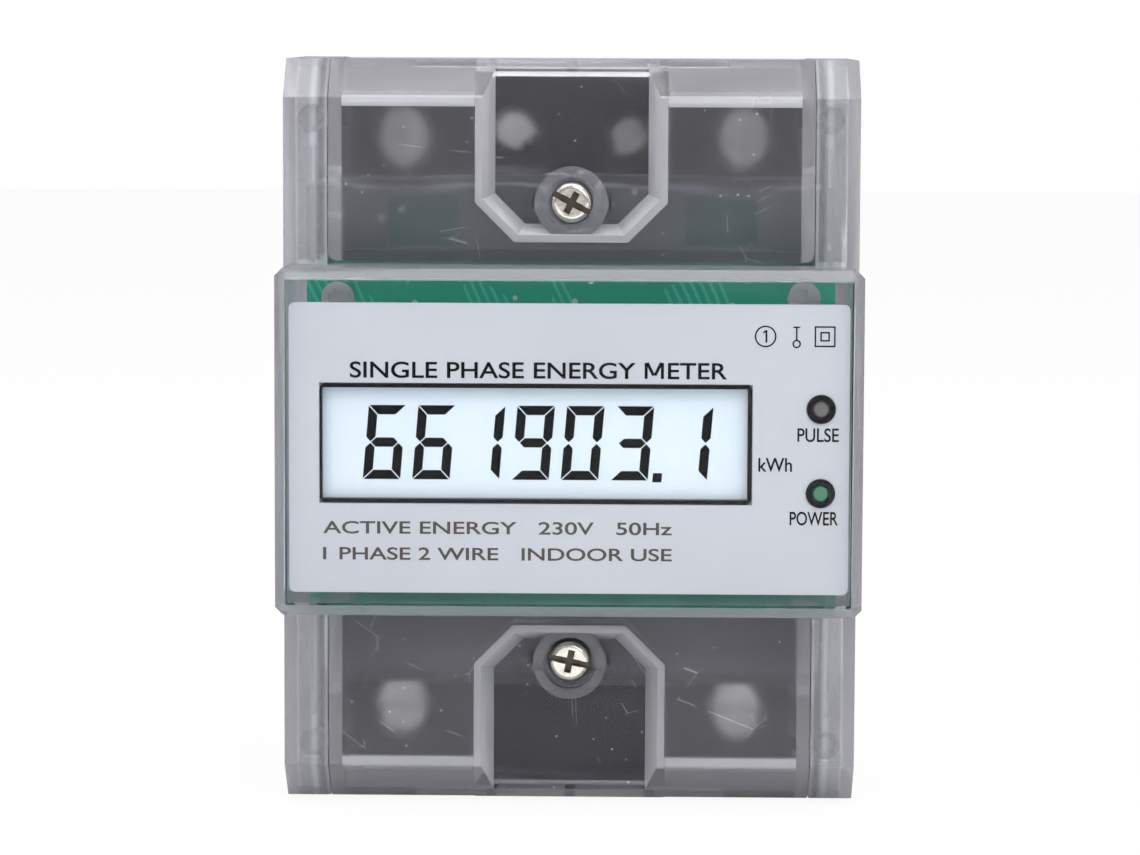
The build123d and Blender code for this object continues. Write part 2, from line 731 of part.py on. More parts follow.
def flat_pack(x, z, half_x, half_z, pins):
    """A surface-mounted chip with a row of legs along each side."""
    with BuildPart() as chip:
        box((x - half_x, x + half_x), (back + 0.3, back + 2.2), (z - half_z, z + half_z))
        pitch = 2 * half_x / pins
        for n in range(pins):
            leg = x - half_x + (n + 0.5) * pitch
            box(
                (leg - 0.2, leg + 0.2),
                (back, back + 1.0),
                (z - half_z - 1.1, z + half_z + 1.1),
            )
    return chip.part


save(flat_pack(-7, 4, 7.5, 3.8, 12), "metering_chip")
save(flat_pack(9, 4, 6.0, 3.0, 10), "controller_chip")
with BuildPart() as crystal:
    with BuildSketch(Plane.XZ.offset(-back)):
        with Locations((-22, 14)):
            SlotOverall(9.5, 4.2)
    extrude(amount=-3.4)
save(crystal.part, "crystal")
with BuildPart() as resistors:
    for n in range(6):
        for x in (-30.5, 30.5):
            with Locations((x, back + 0.5, -11 + n * 4)):
                Box(3.2, 1.0, 1.6)
save(resistors.part, "resistors")

# ---------------------------------------------------------------- face: nameplate, display, lamps
with BuildPart() as nameplate:
    box(
        (plate_left, plate_right),
        (-plate_depth, -plate_depth + plate_thickness),
        (plate_bottom, plate_top),
    )
    fillet(nameplate.edges().filter_by(Axis.Y), 0.8)
    box(
        (window_left - 0.05, window_right + 0.05),
        (-plate_depth, -plate_depth + plate_thickness),
        (window_bottom - 0.05, window_top + 0.05),
        Mode.SUBTRACT,
    )
    for z in (pulse_led_z, power_led_z):
        round_y(led_x, z, (-plate_depth, -plate_depth + 1), led_ring_radius + 0.05, Mode.SUBTRACT)
save(nameplate.part, "nameplate")

glass_front = -plate_depth + 1.3
glass_back = glass_front + 2.2
glass_margin = 1.6
with BuildPart() as lcd_bezel:
    skin = (-plate_depth - 0.1, glass_front)
    box((window_left, window_right), skin, (window_bottom, window_top))
    fillet(lcd_bezel.edges().filter_by(Axis.Y), 0.8)
    box(
        (window_left + 0.3, window_right - bezel_band),
        skin,
        (window_bottom + bezel_band, window_top - bezel_band),
        Mode.SUBTRACT,
    )
save(lcd_bezel.part, "lcd_bezel")

glass_x = (window_left - glass_margin, window_right + glass_margin)
glass_z = (window_bottom - 2.5, window_top + 2.5)
with BuildPart() as lcd_glass:
    box(glass_x, (glass_front, glass_back), glass_z)
save(lcd_glass.part, "lcd_glass")

with BuildPart() as backlight_panel:
    box(
        (window_left + 0.2, window_right - 0.2),
        (glass_back + 0.1, glass_back + 3.0),
        (window_bottom, window_top),
    )
save(backlight_panel.part, "backlight_panel")

with BuildPart() as lcd_pins:
    for n in range(12):
        x = glass_x[0] + 3 + n * (glass_x[1] - glass_x[0] - 6) / 11
        for z in (glass_z[0] + 0.9, glass_z[1] - 0.9):
            box((x - 0.25, x + 0.25), (glass_back, -board_depth), (z - 0.2, z + 0.2))
save(lcd_pins.part, "lcd_pins")

frame_front = -plate_depth + plate_thickness
with BuildPart() as display_frame:
    box(
        (plate_left + 0.8, plate_right - 0.8),
        (frame_front, frame_front + 2),
        (plate_bottom + 0.6, plate_top - 0.6),
    )
    box(
        (glass_x[0] - 0.1, glass_x[1] + 0.1),
        (frame_front, frame_front + 2),
        (glass_z[0] - 0.1, glass_z[1] + 0.1),
        Mode.SUBTRACT,
    )
    for z in (pulse_led_z, power_led_z):
        round_y(led_x, z, (frame_front, frame_front + 2), led_ring_radius + 0.05, Mode.SUBTRACT)
    for x in (-27.0, 27.0):
        for z in (plate_bottom + 3.5, plate_top - 3.5):
            round_y(x, z, (frame_front + 2, -board_depth), 1.8)
save(display_frame.part, "display_frame")

with BuildPart() as led_holders:
    for z in (pulse_led_z, power_led_z):
        tube = (-plate_depth - 0.3, -board_depth)
        round_y(led_x, z, tube, led_ring_radius)
        round_y(led_x, z, tube, 1.23, Mode.SUBTRACT)
        round_y(led_x, z, (tube[0] + 0.8, tube[1]), led_radius + 0.1, Mode.SUBTRACT)
save(led_holders.part, "led_holders")


def led(z):
    """A small lamp with a flange, a domed lens and two legs."""
    nose = -plate_depth + 0.1
    with BuildPart() as lamp:
        round_y(led_x, z, (nose, nose + 0.45), 1.15)
        fillet(lamp.faces().sort_by(Axis.Y)[0].edges(), 0.4)
        round_y(led_x, z, (nose + 0.45, nose + 4.4), led_radius)
        for x in (led_x - 0.7, led_x + 0.7):
            box((x - 0.22, x + 0.22), (nose + 4.4, -board_depth), (z - 0.22, z + 0.22))
    return lamp.part


save(led(pulse_led_z), "pulse_led")
save(led(power_led_z), "power_led")
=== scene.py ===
import bpy
import bmesh
import json
import math
from mathutils import Matrix, Vector


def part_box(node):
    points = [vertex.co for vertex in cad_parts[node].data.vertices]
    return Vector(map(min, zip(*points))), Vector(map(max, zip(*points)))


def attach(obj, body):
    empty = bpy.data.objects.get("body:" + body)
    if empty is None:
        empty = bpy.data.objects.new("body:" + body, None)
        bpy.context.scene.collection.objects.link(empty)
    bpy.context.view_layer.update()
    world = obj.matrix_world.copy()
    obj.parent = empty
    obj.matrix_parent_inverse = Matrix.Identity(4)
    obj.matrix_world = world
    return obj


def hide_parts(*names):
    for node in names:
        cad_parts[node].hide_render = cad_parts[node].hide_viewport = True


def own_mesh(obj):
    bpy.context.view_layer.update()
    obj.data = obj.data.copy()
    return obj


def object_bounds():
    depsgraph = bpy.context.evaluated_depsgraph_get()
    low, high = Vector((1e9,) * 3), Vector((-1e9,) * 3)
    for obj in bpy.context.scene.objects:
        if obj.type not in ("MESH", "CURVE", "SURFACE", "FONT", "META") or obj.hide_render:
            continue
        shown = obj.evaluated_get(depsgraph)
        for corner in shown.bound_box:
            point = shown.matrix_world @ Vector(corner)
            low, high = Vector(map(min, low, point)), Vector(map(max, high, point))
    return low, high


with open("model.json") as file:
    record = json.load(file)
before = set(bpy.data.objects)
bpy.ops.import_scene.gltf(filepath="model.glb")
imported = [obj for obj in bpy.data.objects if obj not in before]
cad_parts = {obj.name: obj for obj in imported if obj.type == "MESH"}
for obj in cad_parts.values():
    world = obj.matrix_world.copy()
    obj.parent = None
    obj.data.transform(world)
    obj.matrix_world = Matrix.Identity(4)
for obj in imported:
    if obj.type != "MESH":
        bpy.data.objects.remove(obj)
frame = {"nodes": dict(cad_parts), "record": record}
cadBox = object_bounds()
nodes = frame["nodes"]
record = frame["record"]
mm = 0.001
bodyOf = {node: body for body, members in record["behaviour"]["bodies"].items() for node in members}
slotOf = {part["node"]: part["material_slot"] for part in record["subparts"]}
print("frame loaded:", len(nodes), "nodes")


class Wire:
    # wraps one socket, so that sums on wires add Math nodes; without a socket it only adds nodes to its tree
    def __init__(self, tree, socket=None):
        self.tree = tree
        self.socket = socket

    def node(self, kind, settings=None, values=None, output=0):
        made = self.tree.nodes.new("ShaderNode" + kind)
        for key, value in (settings or {}).items():
            setattr(made, key, value)
        for key, value in (values or {}).items():
            if isinstance(value, Wire):
                self.tree.links.new(value.socket, made.inputs[key])
            else:
                made.inputs[key].default_value = value
        return Wire(self.tree, made.outputs[output] if made.outputs else None)

    def maths(self, operation, first, second=0.0):
        return self.node("Math", {"operation": operation}, {0: first, 1: second})

    def __add__(self, other):
        return self.maths("ADD", self, other)

    def __sub__(self, other):
        return self.maths("SUBTRACT", self, other)

    def __rsub__(self, other):
        return self.maths("SUBTRACT", other, self)

    def __mul__(self, other):
        return self.maths("MULTIPLY", self, other)

    def __gt__(self, other):
        return self.maths("GREATER_THAN", self, other)

    def __lt__(self, other):
        return self.maths("LESS_THAN", self, other)


def place(wires):
    return wires.node("TexCoord", output="Object")


def axes(wires):
    # x, y and z of the point, in metres
    parts = wires.node("SeparateXYZ", {}, {0: place(wires)}).socket.node.outputs
    return [Wire(wires.tree, part) for part in parts]


def grain(wires, size, detail=2.0, roughness=0.5, stretch=(1, 1, 1)):
    # noise whose features are about size metres across, from 0 to 1
    where = wires.node("Mapping", {}, {"Vector": place(wires), "Scale": stretch})
    values = {"Vector": where, "Scale": 1 / size, "Detail": detail, "Roughness": roughness}
    return wires.node("TexNoise", {}, values)


def ramp(wires, value, low, high):
    # 0 below low, 1 above high
    return wires.node("MapRange", {"clamp": True}, {"Value": value, "From Min": low, "From Max": high})


def blendColour(wires, share, first, second):
    # share of the second colour in the first
    # 6 and 7 are the colour inputs of a Mix node, 2 is its colour output
    values = {0: share}
    for key, colour in ((6, first), (7, second)):
        values[key] = colour if isinstance(colour, Wire) else (*colour, 1.0)
    return wires.node("Mix", {"data_type": "RGBA"}, values, output=2)


def bump(wires, height, depth, strength=1.0):
    return wires.node("Bump", {}, {"Height": height, "Distance": depth, "Strength": strength})


def makeMaterial(name, constants, pattern):
    material = bpy.data.materials.new(name)
    material.use_nodes = True
    material.node_tree.nodes.clear()
    wires = Wire(material.node_tree)
    shader = wires.node("BsdfPrincipled", {}, {**constants, **pattern(wires)})
    wires.node("OutputMaterial", {}, {"Surface": shader})
    return material


def speckle(wires, spacing, size, share):
    # round dots, with share of the cells filled: 1 in a dot, 0 outside
    values = {"Vector": place(wires), "Scale": 1 / spacing}
    cells = wires.node("TexVoronoi", {"feature": "F1"}, values, "Distance")
    tone = Wire(wires.tree, cells.socket.node.outputs["Color"])
    chance = wires.node("SeparateColor", {}, {0: tone})
    return (cells < size / spacing) * (chance < share)


clearLook = {
    "tint": (0.82, 0.82, 0.87),
    "windowTint": (0.97, 0.975, 0.975),
    "driftShade": 0.95,  # of the tint, where it is darkest
    "drift": 18 * mm,
    "grain": 0.45 * mm,
    "wear": 7 * mm,
    "bump": 0.35,
    # the glow of the dust and the scratches: painted light
    "dustGlow": (0.42, 0.42, 0.42),
    "dustSpacing": 2.3 * mm,
    "dustSize": 0.13 * mm,
    "scratchSpacing": 9 * mm,
    "scratchWidth": 0.0035,  # shares of the spacing
    "scratchPatch": 4 * mm,
    "scratchShare": 0.7,  # patches whose noise is over this have scratches
    "scratchTone": 0.5,
}


def dustAndScratchGlints(wires, share):
    # specks of dust, and a few hair scratches: short stretches of the edges of large cells; both are real
    # marks, drawn as emission, so they are painted glints
    look = clearLook
    values = {"Vector": place(wires), "Scale": 1 / look["scratchSpacing"]}
    edge = wires.node("TexVoronoi", {"feature": "DISTANCE_TO_EDGE"}, values)
    patch = grain(wires, look["scratchPatch"], 0) > look["scratchShare"]
    scratches = (edge < look["scratchWidth"]) * patch * look["scratchTone"]
    dustGlow = speckle(wires, look["dustSpacing"], look["dustSize"], share)
    return wires.maths("MINIMUM", dustGlow + scratches, 1.0)


def frosted(
    name, haze, smooth, rough, dustShare=0.0, depth=0.006,
    glare=1.0, refraction=1.49, tint="tint", band=None,
):
    # clear moulding with some haze and a fine grain; depth is the grain's, in mm
    def pattern(wires):
        look = clearLook
        fine = grain(wires, look["grain"], 2)
        wear = grain(wires, look["wear"], 1)
        shade = [part * look["driftShade"] for part in look[tint]]
        colour = blendColour(wires, grain(wires, look["drift"], 2), look[tint], shade)
        result = {
            "Base Color": band(wires, colour, fine) if band else colour,
            "Roughness": wear * (rough - smooth) + smooth,
            "Normal": bump(wires, fine, depth * mm, look["bump"]),
        }
        if dustShare:
            # the dust and the scratches glow: painted glints on real marks
            result["Emission Color"] = blendColour(wires, dustAndScratchGlints(wires, dustShare), (0, 0, 0), look["dustGlow"])
        return result
    constants = {
        "Transmission Weight": 1 - haze,
        "IOR": refraction,
        "Specular Tint": (glare, glare, glare, 1.0),
        "Emission Strength": 1.0 if dustShare else 0.0,
    }
    return makeMaterial(name, constants, pattern)


materials = {
    "cover_clear": frosted("frostedCover", 0.12, 0.22, 0.28),
    "case_clear": frosted("frostedCase", 0.12, 0.18, 0.26, depth=0.008),
    "base_clear": frosted("frostedBase", 0.32, 0.26, 0.32),
}


shoulderLook = {
    # where the bands of painted shade are, in mm from the middle: start, full, end of full, end; and how dark
    "outer": (34.3, 34.7, 36.0, 36.3, 0.45),
    "inner": (32.5, 32.7, 33.5, 33.9, 0.62),
    # the colour of the painted shade in the bands
    "shade": (0.16, 0.20, 0.20),
    "behind": -40,  # only in front of this depth
    "above": 23,  # only beyond the cap
    "grainRamp": (0.38, 0.62),  # the fine grain breaks the bands up between these
    "grainShare": 0.35,
}


def shoulderPaintedShade(wires, colour, fine):
    # a shoulder is hollow: its round inner wall shows as upright bands, dark and light, through the front; the
    # dark bands are painted shade in the colour, standing in for that wall's refraction
    look = shoulderLook
    x, y, z = axes(wires)
    across = wires.maths("ABSOLUTE", x)
    front = (y < look["behind"] * mm) * (wires.maths("ABSOLUTE", z) > look["above"] * mm)
    dark = 0
    for name in ("outer", "inner"):
        start, full, fullEnd, end, strength = look[name]
        rise = ramp(wires, across, start * mm, full * mm)
        fall = ramp(wires, across, fullEnd * mm, end * mm)
        dark = rise * (1 - fall) * strength + dark
    speckled = ramp(wires, fine, *look["grainRamp"]) * look["grainShare"] + (1 - look["grainShare"])
    return blendColour(wires, dark * speckled * front, colour, look["shade"])


# clearer or cloudier areas of a moulding, by the name that areaOf gives
areaLook = {
    "window": frosted("windowPane", 0.0, 0.0, 0.015, depth=0.0, refraction=1.16, tint="windowTint"),
    "pane": frosted("coverPane", 0.032, 0.23, 0.28, 0.6, glare=0.45),
    "lowerPane": frosted("lowerPane", 0.055, 0.23, 0.28, 0.6, glare=0.45),
    "border": frosted("coverBorder", 0.17, 0.22, 0.28),
    "pocket": frosted("pocketFloor", 0.012, 0.23, 0.28, 0.6, glare=0.45),
    "collar": frosted("sealCollar", 0.09, 0.22, 0.28),
    "shelf": frosted("caseShelf", 0.03, 0.20, 0.26),
    "rim": frosted("coverRim", 0.34, 0.22, 0.28),
    # the thick lower edge of a cover's slope is cloudier, and so lighter: a painted highlight along that edge
    "edge": frosted("coverEdgeHighlight", 0.29, 0.25, 0.32),
    # the shoulder's colour carries the bands of painted shade
    "shoulder": frosted("caseShoulder", 0.25, 0.18, 0.30, depth=0.012, band=shoulderPaintedShade),
}


def plastic(name, colour, shade, roughness, coarse=1.2, depth=0.01, constants=None):
    # moulded plastic: a slow drift of tone, a fine spark-eroded grain
    def pattern(wires):
        drift = grain(wires, 12 * mm, 3)
        fine = grain(wires, coarse * 0.3 * mm, 3)
        return {
            "Base Color": blendColour(wires, drift, colour, shade),
            "Roughness": fine * 0.16 + (roughness - 0.08),
            "Normal": bump(wires, fine, depth * mm),
        }
    return makeMaterial(name, constants or {}, pattern)


def metal(name, colour, tarnish, roughness, size=0.8, brushed=(1, 1, 1)):
    def pattern(wires):
        stain = ramp(wires, grain(wires, 4 * mm, 4), 0.35, 0.75)
        streak = grain(wires, size * mm, 4, 0.7, brushed)
        return {
            "Base Color": blendColour(wires, stain, colour, tarnish),
            "Roughness": streak * 0.25 + (roughness - 0.1),
            "Normal": bump(wires, streak, 0.008 * mm),
        }
    return makeMaterial(name, {"Metallic": 1.0}, pattern)


boardLook = {
    # ground and tracks, in painted shade, in painted light and as a painted glow
    "shadedBoard": ((0.030, 0.105, 0.088), (0.040, 0.135, 0.112)),
    "bright": ((0.012, 0.275, 0.175), (0.035, 0.40, 0.27)),
    "glow": ((0.008, 0.095, 0.066), (0.018, 0.135, 0.10)),
    "pads": (0.62, 0.62, 0.58),
    "trackSlant": 0.4,
    "trackTurns": 2600.0,  # radians for each metre across
    "trackBend": 6.0,
    "trackEdge": 0.82,  # the wave's height, above which there is a track
    "trackShare": 0.5,  # patches whose noise is over this have tracks
    "padSpacing": 2.6 * mm,
    "padSize": 0.42 * mm,
    "padShare": 0.3,
    "capEnd": (21.5 * mm, 23 * mm),  # the bright ground, which is painted light, and its painted glow fade out between these heights
}


def boardPattern(wires):
    # solder mask with copper tracks a little lighter than the ground
    look = boardLook
    x, y, z = axes(wires)
    bend = grain(wires, 14 * mm, 1) * look["trackBend"]
    wave = wires.maths("SINE", (x + z * look["trackSlant"]) * look["trackTurns"] + bend)
    tracks = wires.maths("ABSOLUTE", wave) > look["trackEdge"]
    mask = tracks * (grain(wires, 10 * mm, 1) > look["trackShare"])
    pads = speckle(wires, look["padSpacing"], look["padSize"], look["padShare"])
    # brighter behind the window than beside the terminals: painted light and a painted glow behind the window,
    # painted shade beside the terminals
    cap = 1 - ramp(wires, wires.maths("ABSOLUTE", z), *look["capEnd"])
    shadedBoard, bright, glow = (blendColour(wires, mask, *look[part]) for part in ("shadedBoard", "bright", "glow"))
    ground = blendColour(wires, cap, shadedBoard, bright)
    return {
        "Base Color": blendColour(wires, pads, ground, look["pads"]),
        "Roughness": grain(wires, 1.5 * mm) * 0.2 + 0.25,
        "Metallic": pads * 0.8,
        "Emission Color": blendColour(wires, cap, (0, 0, 0), glow),
        "Normal": bump(wires, mask, 0.03 * mm),
    }


displayLook = {
    "pale": ((0.70, 0.85, 0.96), (0.74, 0.88, 0.97)),
    "shaded": (0.42, 0.57, 0.72),
    "glow": (0.07, 0.05, 0.05),
    "shadedGlow": (0.02, 0.03, 0.04),
    "topShadow": (2.6 * mm, 0.5 * mm),  # in from the frame's outline: where it starts, where it is full
    "leftShadow": (0.3 * mm, 1.6 * mm),  # the same, where it is full, where it ends
    "shadow": 0.45,
}


def displayPattern(wires):
    # pale liquid crystal, darker in the frame's shadow along the top and the left
    look = displayLook
    x, y, z = axes(wires)
    low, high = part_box("lcd_bezel")
    topStart, topFull = look["topShadow"]
    leftFull, leftEnd = look["leftShadow"]
    top = ramp(wires, z, high.z - topStart, high.z - topFull)
    left = 1 - ramp(wires, x, low.x + leftFull, low.x + leftEnd)
    shadow = wires.maths("MINIMUM", top * look["shadow"] + left * look["shadow"], 1.0)
    cloud = grain(wires, 16 * mm, 2)
    pale = blendColour(wires, cloud, *look["pale"])
    return {
        "Base Color": blendColour(wires, shadow, pale, look["shaded"]),
        "Emission Color": blendColour(wires, shadow, look["glow"], look["shadedGlow"]),
        "Roughness": grain(wires, 2 * mm) * 0.1 + 0.12,
    }


materials |= {
    "terminal_black": plastic("terminalBlack", (0.012, 0.012, 0.014), (0.022, 0.022, 0.025), 0.45),
    "nameplate_white": plastic("nameplateSheet", (0.61, 0.635, 0.69), (0.595, 0.62, 0.68), 0.38, 0.6, 0.003),
    "frame_white": plastic("frameWhite", (0.78, 0.78, 0.78), (0.72, 0.72, 0.72), 0.45),
    "bezel_black": plastic(
        "bezelBlack", (0.006, 0.006, 0.007), (0.011, 0.011, 0.012), 0.30,
        constants={"Specular IOR Level": 0.15},
    ),
    "backlight": plastic("backlightDiffuser", (0.86, 0.90, 0.95), (0.80, 0.86, 0.93), 0.5),
    "capacitor_box": plastic("capacitorBox", (0.62, 0.45, 0.07), (0.52, 0.37, 0.06), 0.4),
    "capacitor_can": plastic("capacitorSleeve", (0.02, 0.02, 0.05), (0.035, 0.035, 0.07), 0.3),
    "varistor_blue": plastic("varistorEpoxy", (0.015, 0.07, 0.30), (0.02, 0.10, 0.36), 0.35),
    "chip_black": plastic("chipEpoxy", (0.02, 0.02, 0.02), (0.035, 0.035, 0.035), 0.5),
    "lead_red": plastic("leadInsulation", (0.35, 0.02, 0.02), (0.28, 0.015, 0.015), 0.45),
    "clip_grey": plastic("clipAcetal", (0.03, 0.03, 0.033), (0.05, 0.05, 0.053), 0.42),
    "pulse_lens": plastic("pulseLens", (0.125, 0.120, 0.115), (0.20, 0.19, 0.18), 0.18),
    "power_lens": plastic("powerLens", (0.045, 0.215, 0.135), (0.09, 0.30, 0.19), 0.18),
    "brass": metal("machinedBrass", (0.78, 0.58, 0.27), (0.60, 0.42, 0.18), 0.32, 0.3, (1, 1, 4)),
    "copper_bar": metal("copperStrip", (0.83, 0.42, 0.26), (0.62, 0.29, 0.17), 0.3, 0.3, (4, 1, 1)),
    "manganin": metal("resistanceStrip", (0.52, 0.42, 0.34), (0.42, 0.33, 0.27), 0.35),
    "tinned_steel": metal("zincPlate", (0.70, 0.71, 0.72), (0.55, 0.56, 0.57), 0.34),
    "nickel_screw": metal("nickelPlate", (0.56, 0.545, 0.51), (0.36, 0.345, 0.32), 0.24, 0.5),
    "board_green": makeMaterial(
        "solderMask", {"Coat Weight": 0.3, "Emission Strength": 1.0}, boardPattern
    ),
    "lcd_glass": makeMaterial(
        "liquidCrystal", {"Emission Strength": 1.0, "Coat Weight": 0.4}, displayPattern
    ),
}
for name, node in nodes.items():
    node.data.materials.clear()
    node.data.materials.append(materials[slotOf[name]])
print("materials on", len(nodes), "nodes")


def finishPiece(piece, body, slot, material=None, replaced=()):
    # gives the piece its finish and lets it ride on its body
    piece.data.materials.clear()
    piece.data.materials.append(material or materials[slot])
    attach(piece, body)
    if replaced:
        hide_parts(*replaced)


def objectFrom(name, build):
    # a mesh object from a bmesh that is already in place, in metres
    mesh = bpy.data.meshes.new(name)
    build.to_mesh(mesh)
    build.free()
    piece = bpy.data.objects.new(name, mesh)
    bpy.context.scene.collection.objects.link(piece)
    return piece


def mergedCopy(node):
    build = bmesh.new()
    build.from_mesh(nodes[node].data)
    bmesh.ops.remove_doubles(build, verts=build.verts, dist=1e-6)
    flat = math.radians(0.6)
    bmesh.ops.dissolve_limit(build, angle_limit=flat, verts=build.verts, edges=build.edges)
    bmesh.ops.recalc_face_normals(build, faces=build.faces)
    return build


# width of each moulding's broken edges, in mm
edgeBreak = {
    "front_case": 0.22,
    "rear_base": 0.25,
    "upper_terminal_cover": 0.15,
    "lower_terminal_cover": 0.15,
}


# the areas of the mouldings, in mm: across is from the middle, up from the rail's centreline, front is y
areaBounds = {
    "window": {"front": -57.9, "across": 37, "up": 21.6},
    "capEnd": 22.6,  # beyond it the front case is shelf or shoulder
    "shoulder": 31.6,
    "coverBack": -40.5,
    "collar": 6,
    "edge": (43.25, 44.7),  # the thick lower edge of a cover's slope
    "pocket": 13.2,  # half the width of the recess round the sealing screw
    "border": 30.3,
    "pocketFloor": -45.5,
    "largeFace": 20 * mm * mm,  # in square metres, as face areas are
    "rim": (25.2, 46),
}


# height of each cover's sealing screw, in mm
sealHeight = {
    f"{end}_terminal_cover": (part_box(f"{end}_seal_screw")[0].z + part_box(f"{end}_seal_screw")[1].z) / 2 / mm
    for end in ("upper", "lower")
}


def areaOf(node, face, corners):
    # the name of the area that a face belongs to, or None for the moulding's own finish
    bounds = areaBounds
    x, y, z = (value / mm for value in face.center)
    across, up = abs(x), abs(z)
    flat = abs(face.normal.y) > 0.99
    if node == "front_case":
        window = bounds["window"]
        if flat and y < window["front"] and across < window["across"] and up < window["up"]:
            return "window"
        if up > bounds["capEnd"]:
            return "shoulder" if across > bounds["shoulder"] else "shelf"
    elif node in sealHeight and y < bounds["coverBack"]:
        fromSeal = max(math.hypot(corner.x / mm, corner.z / mm - sealHeight[node]) for corner in corners)
        width = max(abs(corner.x) for corner in corners) / mm
        if fromSeal < bounds["collar"]:
            return "collar"
        if bounds["pocket"] < across < bounds["border"] and bounds["edge"][0] < up < bounds["edge"][1]:
            return "edge"
        if across > bounds["border"]:
            return "border"
        if flat and y > bounds["pocketFloor"] and face.area > bounds["largeFace"]:
            return "pocket"
        if flat and width > bounds["pocket"] + 0.8:
            return "pane" if node.startswith("upper") else "lowerPane"
        if width < bounds["pocket"] + 0.3 and bounds["rim"][0] < up < bounds["rim"][1]:
            return "rim"
    return None


def splitBorders(build):
    # cuts across a cover, which stays closed: each adds edges on its faces and moves nothing
    cuts = [(0, areaBounds["border"])] + [(2, height) for height in areaBounds["edge"]]
    for axis, distance in cuts:
        for side in (-1, 1):
            point, normal = Vector(), Vector()
            point[axis], normal[axis] = distance * side * mm, side
            everything = build.verts[:] + build.edges[:] + build.faces[:]
            bmesh.ops.bisect_plane(build, geom=everything, dist=1e-7, plane_co=point, plane_no=normal)


def softEdged(node, width):
    # the CAD piece with its sharp edges broken, so that they catch the light
    build = mergedCopy(node)
    if node in sealHeight:
        splitBorders(build)
    piece = objectFrom(f"{node}_moulding", build)
    finishPiece(piece, bodyOf[node], slotOf[node], replaced=(node,))
    used = [None]
    for face in piece.data.polygons:
        face.use_smooth = True
        corners = [piece.data.vertices[index].co for index in face.vertices]
        area = areaOf(node, face, corners)
        if area not in used:
            used.append(area)
            piece.data.materials.append(areaLook[area])
        face.material_index = used.index(area)
    bevel = piece.modifiers.new("edges", "BEVEL")
    bevel.width = width * mm
    bevel.segments = 2
    bevel.limit_method = "ANGLE"
    bevel.angle_limit = math.radians(32)
    bevel.harden_normals = True
    bevel.use_clamp_overlap = True


for node, width in edgeBreak.items():
    softEdged(node, width)
print("mouldings with broken edges:", len(edgeBreak))

# sealing screws: pan heads left at the angle they were driven to


headLook = {
    "plating": ((0.78, 0.74, 0.67), (0.56, 0.52, 0.46)),
    # the colour of the painted shade in the slot and the cross
    "slotShade": (0.10, 0.085, 0.07),
    "slotShadeDepth": (0.25 * mm, 0.6 * mm),  # under the top of the head: where the painted shade starts, where it is full
}


def headPattern(wires):
    # bright plating, with painted shade in the slot and the cross
    look = headLook
    x, y, z = axes(wires)
    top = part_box("upper_seal_screw")[0].y
    start, full = look["slotShadeDepth"]
    slotShade = ramp(wires, y, top + start, top + full)
    stain = ramp(wires, grain(wires, 1.2 * mm, 3), 0.4, 0.7)
    plating = blendColour(wires, stain, *look["plating"])
    return {
        "Base Color": blendColour(wires, slotShade, plating, look["slotShade"]),
        "Roughness": slotShade * 0.25 + 0.17,
        "Normal": bump(wires, grain(wires, 0.4 * mm, 3), 0.01 * mm),
    }


platedHead = makeMaterial("platedHead", {"Metallic": 1.0}, headPattern)

sealTurn = {"upper_seal_screw": 28, "lower_seal_screw": 12}
for node, degrees in sealTurn.items():
    low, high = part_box(node)
    middle = (low + high) / 2
    build = mergedCopy(node)
    turn = Matrix.Rotation(math.radians(degrees), 4, "Y")
    bmesh.ops.transform(
        build, matrix=Matrix.Translation(middle) @ turn @ Matrix.Translation(-middle), verts=build.verts
    )
    piece = objectFrom(f"{node}_turned", build)
    finishPiece(piece, bodyOf[node], slotOf[node], platedHead, replaced=(node,))

# the rail clip's spring, a merged copy riding on its body; the share of its length left when the clip's full
# slide presses it is worked out, but not applied
slide = next(joint for joint in record["behaviour"]["joints"] if joint["name"] == "rail_clip_slide")
springLow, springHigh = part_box("rail_clip_spring")
coil = objectFrom("rail_clip_spring_coil", mergedCopy("rail_clip_spring"))
finishPiece(coil, bodyOf["rail_clip_spring"], slotOf["rail_clip_spring"], replaced=("rail_clip_spring",))
pressed = 1 - slide["range_m"][1] / (springHigh.z - springLow.z)
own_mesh(coil)

matt = {"Specular IOR Level": 0.06}
inkDark = plastic("inkBlack", (0.006, 0.006, 0.007), (0.012, 0.012, 0.013), 0.55, constants=matt)
inkGrey = plastic("inkGrey", (0.085, 0.078, 0.066), (0.12, 0.11, 0.09), 0.6, constants=matt)
segmentBlack = plastic("segmentBlack", (0.003, 0.003, 0.004), (0.006, 0.006, 0.007), 0.4, constants=matt)
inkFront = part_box("nameplate")[0].y - 0.02 * mm
inkThick = 0.01 * mm
lettering = [
    # words, left end, right end, baseline, capital height, ink
    ("SINGLE PHASE ENERGY", -28.3, 8.6, 8.35, 2.07, "dark"),
    ("ETER", 12.75, 20.4, 8.35, 2.07, "dark"),  # its M is drawn in bars, below
    ("PULSE", 29.5, 34.85, 0.33, 1.75, "dark"),
    ("POWER", 28.6, 34.85, -10.5, 1.75, "dark"),
    ("kWh", 24.5, 28.85, -3.55, 1.75, "dark"),
    ("ACTIVE ENERGY   230V   50Hz", -31.8, 13.4, -11.9, 1.6, "grey"),
    ("1 PHASE 2 WIRE   INDOOR USE", -31.8, 13.4, -15.3, 1.6, "grey"),
]
inks = {"dark": bmesh.new(), "grey": bmesh.new()}


